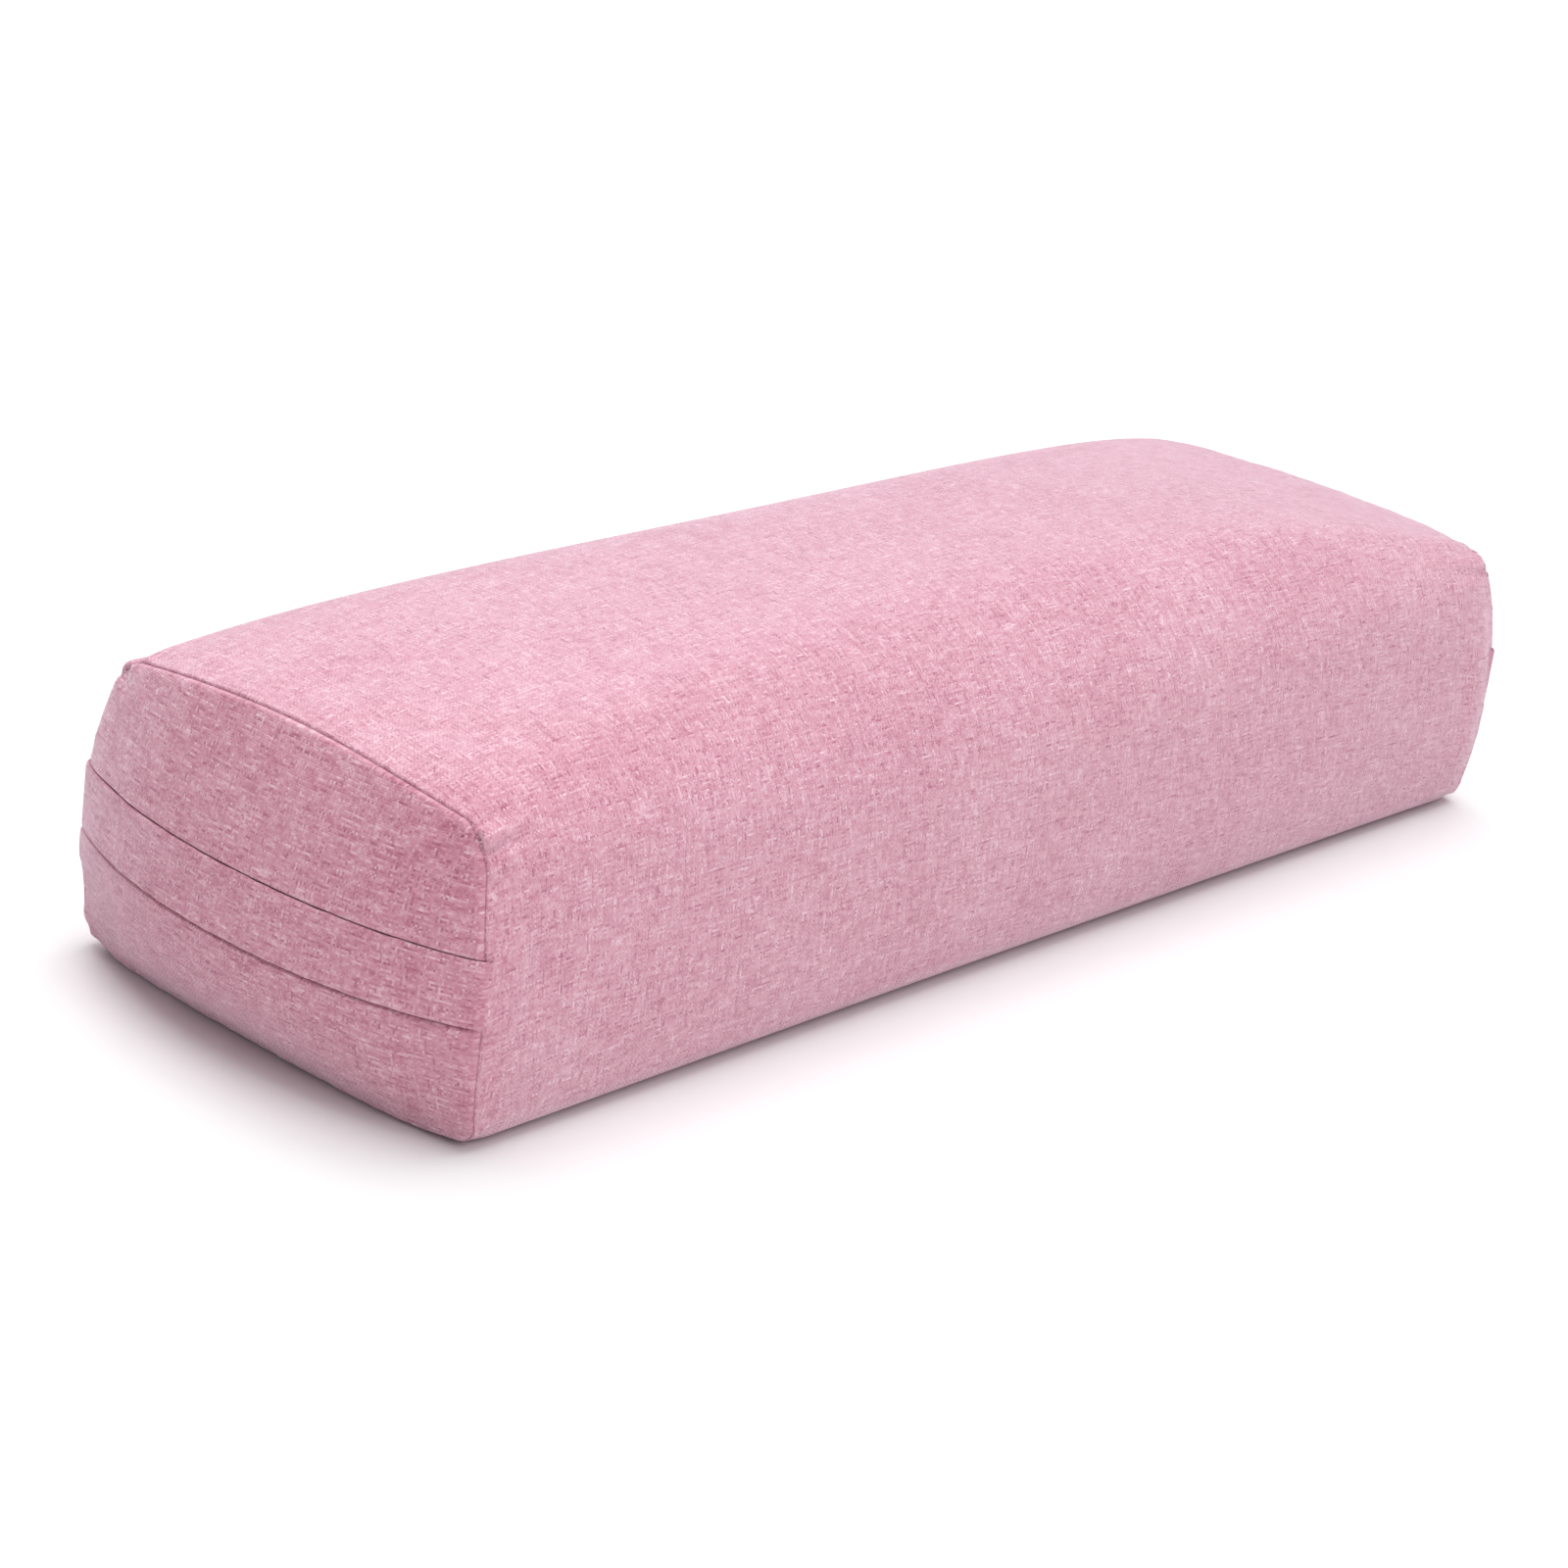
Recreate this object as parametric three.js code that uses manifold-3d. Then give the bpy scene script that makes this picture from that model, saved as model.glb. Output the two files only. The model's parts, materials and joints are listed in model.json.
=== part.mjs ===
// A stuffed rectangular bolster lying on its underside: a cloth cover over a lined and padded foam
// core, with a carry strap sewn across each end and a zip low along the back.
// Millimetres. X runs along the bolster, Y from its front to its back, and Z up from the floor.

import * as THREE from 'three';
import { mergeVertices } from 'three/addons/utils/BufferGeometryUtils.js';
import Module from 'manifold-3d';

// The filled shape
const length = 610; // between the two end seams, through the middle of the ends
const width = 197; // across the foot of the sides
const endHeight = 111; // at the end seams
const midRise = 21.5; // how much higher the middle of the length stands
const topCrown = 4; // rise of the top between its two long edges
const sideBulge = 6; // of the front and the back
const topTaper = 7; // how far each side leans in at the top
const endBulge = 19.5; // of each end panel
const bulgeDroop = 0.13; // the end panels bulge a little below their middle
const cornerRetreat = 12; // how far the corners of the end seams are drawn back
const topRadius = { end: 11, mid: 55 }; // of the long top edges
const footRadius = { end: 8, mid: 10 }; // of the long bottom edges
const smallestRadius = 3;

// The layers, each a depth in from the outside of the cover
const coverCloth = 1.5;
const fit = 0.3; // gap between pieces that touch on the real object
const tapeDepth = { out: 1.9, in: 2.5 };
const linerDepth = { out: 2.9, in: 3.7 };
const battingDepth = { out: 4.8, in: 13 };
const coreDepth = 13.5;

// The layers at the ends, each a distance in from the cover's end panel
const endShort = { liner: 0.7, linerIn: 1.4, sleeve: 1.9, pad: 2, padIn: 9.3, batting: 10, core: 10.6 };

// The carry straps
const strap = { low: 46, high: 69.5, cloth: 2.4, slack: 5.2, seamGap: 0.6 };
const strapRoot = 97; // from the middle of the end to the sewn end of a strap
const strapBend = 59; // from the middle of the end to the bend between a strap's tab and its grip

// The zip
const zipLevel = 24;
const zipGroove = { depth: 3.2, half: 9 }; // the seam draws the back in here
const grooveReach = 16; // above the zip, where the groove has faded
const zipSlot = 5.5; // half of the gap between the two edges of the cover
const tapeWidth = 12;
const coil = { half: 3, depthOut: 0.1, depthIn: 1.6, reach: 287 };
const tack = { half: 5, long: 3 };
const slider = { long: 11, half: 4.5, wall: 1.2, skirt: 1.2, x: -278 };
const lug = { long: 4, wall: 0.9, high: 4.9 };
const pull = { long: 24, half: 2, thick: 1, barY: 3.8, barRadius: 0.7, eye: 1, eyeOuter: 1.9 };

const label = { x: -240, long: 35, low: 38, high: 54, out: 2, in: 2.4 };

// How finely the curves are cut
const steps = { groove: 4, side: 3, corner: 5, top: 4, foot: 3, under: 1, along: 12, dome: 4 };
const domeCentre = 0.15; // the innermost ring of a domed end, as a share of its outline

const halfLength = length / 2;
const halfWidth = width / 2;
const widestLevel = endHeight / 2;

const pink = 0xdfa3b5;
const colours = {
  cover: pink, strap: 0xd998ac, tape: 0xd590a6, coil: 0xcf86a0, thread: 0xd48fa6,
  liner: 0xf0ece2, batting: 0xf7f6f2, core: 0xefe3b8, label: 0xffffff, metal: 0xb9bbc0,
};

// ---- Shape of the filled bolster ----

// A station u runs from -1 at one end seam to 1 at the other.
function stationHeight(u) {
  return endHeight + midRise * (1 - Math.abs(u) ** 3);
}

function stationRadius(radius, u, depth) {
  const towardsMiddle = 1 - Math.abs(u) ** 2.5;
  const outer = radius.end + (radius.mid - radius.end) * towardsMiddle;
  return Math.max(outer - depth, smallestRadius);
}

// Height as a share: -1 at the floor, 0 at the widest level and 1 at the top.
function levelShare(z, u) {
  if (z < widestLevel) return z / widestLevel - 1;
  return (z - widestLevel) / (stationHeight(u) - widestLevel);
}

// Where the filling pushes a point of the plain section, as [y, z].
function filled(y, z, u) {
  const across = y / halfWidth;
  const up = levelShare(z, u);
  const crown = up > 0 ? topCrown * (1 - across ** 2) * up ** 3 : 0;
  const groove = y > 0 ? zipGroove.depth / (1 + ((z - zipLevel) / zipGroove.half) ** 4) : 0;
  const side = sideBulge * (1 - up ** 2) - topTaper * (1 + up) / 2 - groove;
  return [y + Math.sign(y) * side * Math.abs(across) ** 3, z + crown];
}

// Distance from the middle of the length to the end seam and panel.
function endReach(across, up) {
  const retreat = cornerRetreat * (across ** 4 + up ** 4) / 2;
  const bulge = endBulge * (1 - across ** 2) * (1 - up ** 2) * (1 - bulgeDroop * up);
  return halfLength - retreat + bulge;
}

// A point of the plain section, set in place; short is how far it stops before the end panel.
function placed([y, z], u, short) {
  const reach = endReach(y / halfWidth, levelShare(z, u)) - short;
  return new THREE.Vector3(u * reach, ...filled(y, z, u));
}

function line(from, to, count) {
  const at = (k) => [0, 1].map((i) => from[i] + (to[i] - from[i]) * k / count);
  return Array.from({ length: count }, (_, k) => at(k));
}

function arc(y, z, radius, startDegrees, count) {
  const angle = (k) => THREE.MathUtils.degToRad(startDegrees + 90 * k / count);
  const at = (k) => [y + radius * Math.cos(angle(k)), z + radius * Math.sin(angle(k))];
  return Array.from({ length: count }, (_, k) => at(k));
}

// The plain section at a depth, a rounded rectangle walked from a level on the back, up, over the
// top, down the front, under, and up again to a level on the back.
function sectionPath(u, depth, startZ, endZ) {
  const half = halfWidth - depth;
  const top = stationHeight(u) - depth;
  const big = stationRadius(topRadius, u, depth);
  const small = stationRadius(footRadius, u, depth);
  const foot = depth + small;
  return [
    ...line([half, startZ], [half, zipLevel + grooveReach], steps.groove),
    ...line([half, zipLevel + grooveReach], [half, top - big], steps.side),
    ...arc(half - big, top - big, big, 0, steps.corner),
    ...line([half - big, top], [big - half, top], steps.top),
    ...arc(big - half, top - big, big, 90, steps.corner),
    ...line([-half, top - big], [-half, foot], steps.side),
    ...arc(small - half, foot, small, 180, steps.foot),
    ...line([small - half, depth], [half - small, depth], steps.under),
    ...arc(half - small, foot, small, 270, steps.foot),
    ...line([half, foot], [half, endZ], steps.groove),
    [half, endZ],
  ];
}

// The same as a closed loop
function sectionLoop(u, depth) {
  return sectionPath(u, depth, zipLevel, zipLevel).slice(0, -1);
}

function stations() {
  return Array.from({ length: steps.along + 1 }, (_, k) => 2 * k / steps.along - 1);
}

// ---- Closed meshes from loops of points ----

function signedVolume(points, index) {
  let sum = 0;
  for (let i = 0; i < index.length; i += 3) {
    const [a, b, c] = index.slice(i, i + 3).map((k) => points[k]);
    sum += a.dot(new THREE.Vector3().crossVectors(b, c));
  }
  return sum / 6;
}

// Joins each loop to the next. The last is joined to the first, or both are closed by a strip.
function stitched(loops, round = false) {
  const size = loops[0].length;
  const at = (loop, k) => (loop % loops.length) * size + (k % size);
  const index = [];
  for (let i = 0; i < loops.length - (round ? 0 : 1); i++) {
    for (let k = 0; k < size; k++) {
      index.push(at(i, k), at(i + 1, k), at(i + 1, k + 1));
      index.push(at(i, k), at(i + 1, k + 1), at(i, k + 1));
    }
  }
  for (let k = 0; !round && k + 1 <= size - 2 - k; k++) {
    const [a, b, c, d] = [k, k + 1, size - 2 - k, size - 1 - k];
    const last = (loops.length - 1) * size;
    index.push(a, c, d, last + a, last + d, last + c);
    if (b < c) index.push(a, b, c, last + a, last + c, last + b);
  }
  const points = loops.flat();
  if (signedVolume(points, index) < 0) index.reverse();
  const geometry = new THREE.BufferGeometry().setFromPoints(points);
  geometry.setIndex(index);
  geometry.computeVertexNormals();
  return geometry;
}

// A layer that goes all the way round the girth, open at both ends
function tube(depth, short) {
  const outer = stations().map((u) => sectionLoop(u, depth.out).map((p) => placed(p, u, short)));
  const inner = stations().map((u) => sectionLoop(u, depth.in).map((p) => placed(p, u, short)));
  return stitched([...outer, ...inner.reverse()], true);
}

// The cover's one long panel, which leaves a slot for the zip
function wrap() {
  const loops = stations().map((u) => {
    const path = (depth) => sectionPath(u, depth, zipLevel + zipSlot, zipLevel - zipSlot);
    const loop = [...path(0), ...path(coverCloth).reverse()];
    return loop.map((p) => placed(p, u, fit));
  });
  return stitched(loops);
}

// Rings over an end from its edge towards its middle, closest together at the edge
function dome(side, depth, short) {
  return Array.from({ length: steps.dome + 1 }, (_, k) => {
    const share = 1 - (1 - domeCentre) * (k / steps.dome) ** 2;
    const shrunk = ([y, z]) => [y * share, widestLevel + (z - widestLevel) * share];
    return sectionLoop(side, depth).map((p) => placed(shrunk(p), side, short));
  });
}

function endPanel(side, depth, shortOut, shortIn) {
  return stitched([...dome(side, depth, shortIn).reverse(), ...dome(side, depth, shortOut)]);
}

function filledCore() {
  const middle = stations().slice(1, -1);
  const loops = middle.map((u) => sectionLoop(u, coreDepth).map((p) => placed(p, u, endShort.core)));
  const end = (side) => dome(side, coreDepth, endShort.core);
  return stitched([...end(-1).reverse(), ...loops, ...end(1)]);
}

// ---- Straps ----

// Distance from the middle of the length to the inner face of a strap
function strapReach(y) {
  const across = y / halfWidth;
  const lift = strap.seamGap + strap.slack * (1 - across ** 4);
  return endReach(across, 0) + fit / 2 + coverCloth + lift;
}

function strapLength(side, fromY, toY, count) {
  const loops = Array.from({ length: count + 1 }, (_, k) => {
    const plainY = fromY + (toY - fromY) * k / count;
    const [y] = filled(plainY, widestLevel, side);
    const near = side * strapReach(plainY);
    const far = side * (strapReach(plainY) + strap.cloth);
    return [
      new THREE.Vector3(near, y, strap.low),
      new THREE.Vector3(far, y, strap.low),
      new THREE.Vector3(far, y, strap.high),
      new THREE.Vector3(near, y, strap.high),
    ];
  });
  return stitched(loops);
}

// ---- Zip ----

// A flat piece lying along the back at a depth
function backBand(x, z, depth, count) {
  const row = (inset, fromZ, toZ) => [
    ...line([halfWidth - inset, fromZ], [halfWidth - inset, toZ], count),
    [halfWidth - inset, toZ],
  ];
  const section = [...row(depth.out, ...z), ...row(depth.in, ...z).reverse()];
  return stitched(x.map((end) => section.map((p) => new THREE.Vector3(end, ...filled(...p, 0)))));
}

function zipTape(side) {
  const z = [zipLevel + side * fit, zipLevel + side * (fit + tapeWidth)];
  const end = placed([halfWidth - tapeDepth.in, zipLevel], 1, 2 * coverCloth).x;
  return backBand([-end, end], z, tapeDepth, 5);
}

function zipCoil(side) {
  const z = [zipLevel + side * fit / 2, zipLevel + side * coil.half];
  return backBand([-coil.reach, coil.reach], z, { out: coil.depthOut, in: coil.depthIn }, 2);
}

function zipTack(side) {
  const near = side * (coil.reach + fit);
  const z = [zipLevel - tack.half, zipLevel + tack.half];
  return backBand([near, near + side * tack.long], z, { out: coil.depthOut, in: coil.depthIn }, 3);
}

const manifold = await Module();
manifold.setup();

function solid(geometry) {
  const bare = geometry.index ? geometry.clone() : mergeVertices(geometry);
  bare.deleteAttribute('normal');
  bare.deleteAttribute('uv');
  const merged = mergeVertices(bare);
  return new manifold.Manifold(new manifold.Mesh({
    numProp: 3,
    vertProperties: new Float32Array(merged.attributes.position.array),
    triVerts: new Uint32Array(merged.index.array),
  }));
}

function fromSolid(joined) {
  const mesh = joined.getMesh();
  const geometry = new THREE.BufferGeometry();
  geometry.setAttribute('position', new THREE.BufferAttribute(mesh.vertProperties, 3));
  geometry.setIndex(new THREE.BufferAttribute(mesh.triVerts, 1));
  geometry.computeVertexNormals();
  return geometry;
}

// The slider, about the outer face of the coils: a channel, with a bar between two lugs on its back
function sliderBody() {
  const under = fit;
  const back = under + slider.wall;
  const plate = new THREE.BoxGeometry(slider.long, slider.wall, 2 * slider.half);
  plate.translate(0, under + slider.wall / 2, 0);
  let body = solid(plate);
  for (const side of [-1, 1]) {
    const skirtHigh = slider.skirt + back;
    const skirt = new THREE.BoxGeometry(slider.long, skirtHigh, slider.wall);
    skirt.translate(0, back - skirtHigh / 2, side * (slider.half - slider.wall / 2));
    const ear = new THREE.BoxGeometry(lug.long, lug.high - under, lug.wall);
    ear.translate(0, (lug.high + under) / 2, side * (pull.half + fit + lug.wall / 2));
    body = body.add(solid(skirt)).add(solid(ear));
  }
  const bar = new THREE.CylinderGeometry(pull.barRadius, pull.barRadius, 2 * (pull.half + lug.wall), 12);
  bar.rotateX(Math.PI / 2);
  bar.translate(0, pull.barY, 0);
  return fromSolid(body.add(solid(bar)));
}

// The pull, about the bar's axis: an eye and a flat tongue, as one outline
function pullTab() {
  const outline = new THREE.Shape();
  const half = pull.thick / 2;
  const neck = Math.asin(half / pull.eyeOuter);
  outline.absarc(0, 0, pull.eyeOuter, neck, 2 * Math.PI - neck);
  outline.lineTo(pull.long - half, -half);
  outline.absarc(pull.long - half, 0, half, -Math.PI / 2, Math.PI / 2);
  outline.closePath();
  outline.holes.push(new THREE.Path().absarc(0, 0, pull.eye, 0, 2 * Math.PI, true));
  const tab = new THREE.ExtrudeGeometry(outline, {
    depth: 2 * pull.half, bevelEnabled: false, curveSegments: 12,
  });
  tab.translate(0, 0, -pull.half);
  return tab;
}

// ---- The bolster ----

const bolster = new THREE.Group();

function add(name, geometry, colour, roughness = 0.9, metalness = 0) {
  const material = new THREE.MeshStandardMaterial({ color: colour, roughness, metalness });
  const mesh = new THREE.Mesh(geometry, material);
  mesh.name = name;
  bolster.add(mesh);
  return mesh;
}

add('cover_wrap', wrap(), colours.cover);
add('liner_sleeve', tube(linerDepth, endShort.sleeve), colours.liner);
add('batting_wrap', tube(battingDepth, endShort.batting), colours.batting);
add('foam_core', filledCore(), colours.core);

for (const [end, side] of [['left', -1], ['right', 1]]) {
  const panel = endPanel(side, 0, -fit / 2 - coverCloth, -fit / 2);
  const liner = endPanel(side, linerDepth.out, endShort.liner, endShort.linerIn);
  const pad = endPanel(side, battingDepth.out, endShort.pad, endShort.padIn);
  add(`cover_end_${end}`, panel, colours.cover);
  add(`liner_end_${end}`, liner, colours.liner);
  add(`batting_end_${end}`, pad, colours.batting);
  const half = strapBend - fit;
  add(`strap_${end}_grip`, strapLength(side, -half, half, 12), colours.strap);
  add(`strap_${end}_front_tab`, strapLength(side, -strapRoot, -strapBend, 4), colours.strap);
  add(`strap_${end}_rear_tab`, strapLength(side, strapBend, strapRoot, 4), colours.strap);
  add(`zip_tack_${end}`, zipTack(side), colours.thread);
}

for (const [row, side] of [['upper', 1], ['lower', -1]]) {
  add(`zip_tape_${row}`, zipTape(side), colours.tape);
  add(`zip_coil_${row}`, zipCoil(side), colours.coil, 0.5);
}

const labelSpan = [label.x, label.x + label.long];
add('care_label', backBand(labelSpan, [label.low, label.high], label, 2), colours.label);

const [zipFace] = filled(halfWidth, zipLevel, 0);
const sliderMesh = add('zip_slider', sliderBody(), colours.metal, 0.35, 1);
sliderMesh.position.set(slider.x, zipFace, zipLevel);
const pullMesh = add('zip_pull_tab', pullTab(), colours.metal, 0.35, 1);
pullMesh.position.set(slider.x, zipFace + pull.barY, zipLevel);

export default bolster;
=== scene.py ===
"""The looks of a stuffed bolster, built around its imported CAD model.

Metres. X runs along the bolster, Y from its front to its back, and Z up from the floor. The cover is
laid out as one closed grid of cells over the filled shape and settled by a cloth simulation. Its sewn
panels are then taken from that grid, with rolled seams, gathers and a slot for the zip.
"""

import json
import math

import bmesh
import bpy
import numpy as np
from mathutils import Matrix, Vector


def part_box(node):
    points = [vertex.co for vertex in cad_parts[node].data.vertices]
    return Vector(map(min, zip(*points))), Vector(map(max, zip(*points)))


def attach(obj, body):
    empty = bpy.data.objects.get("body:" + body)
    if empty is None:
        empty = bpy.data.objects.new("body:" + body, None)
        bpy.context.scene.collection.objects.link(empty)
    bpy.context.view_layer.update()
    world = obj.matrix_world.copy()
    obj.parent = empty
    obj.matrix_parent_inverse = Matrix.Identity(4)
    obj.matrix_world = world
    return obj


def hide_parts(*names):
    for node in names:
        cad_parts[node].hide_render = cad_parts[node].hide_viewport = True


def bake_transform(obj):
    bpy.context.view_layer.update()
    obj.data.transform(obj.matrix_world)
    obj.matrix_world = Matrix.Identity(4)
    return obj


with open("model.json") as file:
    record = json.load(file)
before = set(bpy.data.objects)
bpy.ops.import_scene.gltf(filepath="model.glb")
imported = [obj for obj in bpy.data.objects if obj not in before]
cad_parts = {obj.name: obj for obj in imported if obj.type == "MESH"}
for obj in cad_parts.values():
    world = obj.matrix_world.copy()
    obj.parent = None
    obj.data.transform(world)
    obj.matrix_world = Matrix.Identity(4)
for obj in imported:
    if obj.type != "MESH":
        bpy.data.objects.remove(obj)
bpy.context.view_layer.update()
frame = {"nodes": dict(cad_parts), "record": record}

ROOT = "bolster"
SIDES = {"left": -1, "right": 1}
MM = 0.001

# ---- Sizes: the frame gives the box of each part, and these say how the filling shapes it ----

TOP_CROWN, LEFT_CROWN = 4 * MM, 5.5 * MM  # all along, and what the fuller left end adds
SIDE_BULGE = 6 * MM
SIDE_SWELL = 3 * MM  # what is left of the bulge where the sides stand furthest out
TOP_TAPER = 7 * MM  # how much further in each side is at the top
END_STANDS_OUT = 21 * MM  # from the end seams to the middle of a panel
END_BULGE = 16 * MM  # what the cover's own settling does not add to that
BULGE_DROOP = 0.4  # how much fuller an end is low down
CORNER_RETREAT = 12 * MM  # how far the corners of an end draw back
TOP_RADIUS = (12 * MM, 55 * MM)  # at the ends, and in the middle of the length
FOOT_RADIUS = (8 * MM, 10 * MM)
GROOVE_DEPTH, GROOVE_HALF = 3.2 * MM, 9 * MM  # the hollow that the zip draws in
CLOTH_THICK = 0.7 * MM

wrap_low, wrap_high = (np.array(c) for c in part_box("cover_wrap"))
panel_high = np.array(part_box("cover_end_right")[1])
tack_low, tack_high = (np.array(c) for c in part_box("zip_tack_right"))
strap_low, strap_high = (np.array(c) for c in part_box("strap_right_grip"))

half_length = panel_high[0] - END_STANDS_OUT
half_width = -wrap_low[1] - SIDE_SWELL
end_height = panel_high[2] - TOP_CROWN
mid_height = wrap_high[2] - TOP_CROWN
widest_level = end_height / 2
strap_level = (strap_low[2] + strap_high[2]) / 2
zip_level = (tack_low[2] + tack_high[2]) / 2
slot_half = (tack_high[2] - tack_low[2]) / 2 + 0.5 * MM

# ---- The filled shape ----


def joined(*parts):
    """Points from their separate coordinates, which are spread to one shape first."""
    return np.stack(np.broadcast_arrays(*parts), axis=-1)


def unit(vectors):
    return vectors / np.maximum(np.linalg.norm(vectors, axis=-1, keepdims=True), 1e-12)


def station_height(u):
    """Height of the section at station u, from -1 at one end seam to 1 at the other."""
    return end_height + (mid_height - end_height) * (1 - abs(u) ** 3)


def station_radius(radius, u):
    return radius[0] + (radius[1] - radius[0]) * (1 - abs(u) ** 2.5)


def level_share(z, u):
    """-1 at the floor, 0 at the widest level and 1 at the top."""
    over = (z - widest_level) / (station_height(u) - widest_level)
    return np.where(z < widest_level, z / widest_level - 1, over)


def filled(y, z, u):
    """Where the filling pushes points of the plain section, as two arrays."""
    across = y / half_width
    up = level_share(z, u)
    crown = TOP_CROWN + LEFT_CROWN * np.clip(-u, 0, 1) ** 3
    crown = crown * (1 - across**2) * np.clip(up, 0, None) ** 3
    groove = np.where(y > 0, GROOVE_DEPTH / (1 + ((z - zip_level) / GROOVE_HALF) ** 4), 0)
    side = SIDE_BULGE * (1 - up**2) - TOP_TAPER * (1 + up) / 2 - groove
    return y + np.sign(y) * side * np.abs(across) ** 3, z + crown


def end_reach(across, up):
    """Distance from the middle of the length to the end seam and panel."""
    retreat = CORNER_RETREAT * (across**4 + up**4) / 2
    bulge = END_BULGE * (1 - across**2) * (1 - up**2) * (1 - BULGE_DROOP * up)
    return half_length - retreat + bulge


def placed(y, z, u):
    """Where points of the plain section come to lie at station u."""
    return joined(u * end_reach(y / half_width, level_share(z, u)), *filled(y, z, u))


# ---- The grid ----

# Cells round the girth, from the slot's upper edge: up the back, over the top, down the front, under
# the foot, up to the slot and across it.
TOP_CELLS, BACK_UPPER, SLOT_CELLS, BACK_LOWER = 32, 14, 2, 4
SIDE_CELLS = BACK_UPPER + SLOT_CELLS + BACK_LOWER
GIRTH = 2 * (TOP_CELLS + SIDE_CELLS)
OPEN_GIRTH = GIRTH - SLOT_CELLS
ALONG = 104
END_CLOSENESS = 0.45  # how much closer the cells are at the ends


def line(a, b):
    return lambda t: (a[0] + (b[0] - a[0]) * t, a[1] + (b[1] - a[1]) * t)


def arc(y, z, radius, start, stop):
    def at(t):
        angle = np.radians(start + (stop - start) * t)
        return y + radius * np.cos(angle), z + radius * np.sin(angle)

    return at


def running_length(grid, axis):
    """Distance walked along one axis of a grid of points."""
    steps = np.linalg.norm(np.diff(grid, axis=axis), axis=-1)
    start = np.zeros_like(np.take(steps, [0], axis=axis))
    return np.concatenate([start, np.cumsum(steps, axis=axis)], axis=axis)


def between(at, length, values):
    """Rows of values, read off at distances along a path."""
    return joined(*(np.interp(at, length, column) for column in values.T))


def walk(runs, count):
    """Points spaced evenly along lines and arcs, without the last one."""
    t = np.linspace(0, 1, 60)
    path = np.concatenate([joined(*run(t)) for run in runs])
    length = running_length(path, 0)
    return between(np.linspace(0, length[-1], count + 1)[:-1], length, path)


def plain_section(u):
    """The rounded rectangle at station u, as GIRTH points."""
    half, top = half_width, station_height(u)
    big, small = station_radius(TOP_RADIUS, u), station_radius(FOOT_RADIUS, u)
    slot_top, slot_foot = zip_level + slot_half, zip_level - slot_half
    level, inner, foot_inner = top - big, half - big, half - small
    back = [line((half, slot_top), (half, level)), arc(inner, level, big, 0, 45)]
    over = [line((inner, top), (-inner, top)), arc(-inner, level, big, 90, 135)]
    front = [arc(-inner, level, big, 135, 180), line((-half, level), (-half, small))]
    front += [arc(-foot_inner, small, small, 180, 225)]
    under = [arc(-foot_inner, small, small, 225, 270), line((-foot_inner, 0), (foot_inner, 0))]
    under += [arc(foot_inner, small, small, 270, 315)]
    foot = [arc(foot_inner, small, small, 315, 360), line((half, small), (half, slot_foot))]
    return np.concatenate([
        walk(back, BACK_UPPER),
        walk([arc(inner, level, big, 45, 90), *over], TOP_CELLS),
        walk(front, SIDE_CELLS),
        walk(under, TOP_CELLS),
        walk(foot, BACK_LOWER),
        walk([line((half, slot_foot), (half, slot_top))], SLOT_CELLS),
    ])


def rim_index():
    """The girth index of each rim point of an end panel, as its top, front, foot and back rows."""
    top = BACK_UPPER + np.arange(TOP_CELLS + 1)
    front = top[-1] + np.arange(SIDE_CELLS + 1)
    foot = (front[-1] + np.arange(TOP_CELLS + 1))[::-1]
    back = (foot[0] + np.arange(SIDE_CELLS + 1))[::-1] % GIRTH
    return top, front, foot, back


def plain_panel():
    """Points across the plain section of an end, by blending between its four rims."""
    section = plain_section(1)
    top, front, foot, back = (section[i] for i in rim_index())
    s = np.linspace(0, 1, TOP_CELLS + 1)[:, None, None]
    t = np.linspace(0, 1, SIDE_CELLS + 1)[None, :, None]
    rows = (1 - t) * top[:, None] + t * foot[:, None]
    columns = (1 - s) * back[None] + s * front[None]
    corners = (1 - s) * (1 - t) * top[0] + s * (1 - t) * top[-1] + (1 - s) * t * foot[0]
    return rows + columns - corners - s * t * foot[-1]


def stations():
    v = np.linspace(-1, 1, ALONG + 1)
    return v + END_CLOSENESS * np.sin(np.pi * v) / np.pi


def wrap_grid():
    return np.stack([placed(*plain_section(u).T, u) for u in stations()])


def panel_grid(side):
    y, z = np.moveaxis(plain_panel(), -1, 0)
    return placed(y, z, side)


# ---- Settling by cloth simulation ----

SETTLE_FRAMES = 20
SWELL = 1.0 * MM  # how far inside its filled size the cover starts
FILLING_HOLD = 0.17  # how firmly the filling keeps the cover where it is
PANEL_HOLD, SEAM_HOLD = 0.3, 0.35
ZIP_HOLD_CELLS = 4  # how soon the zip's hold on the cover fades
FLOOR_SHARE = 0.8  # of the width, on which the weight keeps the underside flat
SLIDE_SHARE = 0.5  # how much of the cloth's movement along its own surface is kept
OUTWARD_CAP, INWARD_CAP = 2.5 * MM, 1.6 * MM  # the furthest that it may swell and sink
EVENING_PASSES = 3


def panel_vertices(first_inner, ring_start):
    """Vertex number of each point of an end panel, which shares its rim with the wrap."""
    numbers = np.zeros((TOP_CELLS + 1, SIDE_CELLS + 1), int)
    inner = (TOP_CELLS - 1) * (SIDE_CELLS - 1)
    numbers[1:-1, 1:-1] = first_inner + np.arange(inner).reshape(TOP_CELLS - 1, SIDE_CELLS - 1)
    top, front, foot, back = rim_index()
    numbers[:, 0], numbers[-1, :] = ring_start + top, ring_start + front
    numbers[:, -1], numbers[0, :] = ring_start + foot, ring_start + back
    return numbers


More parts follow.
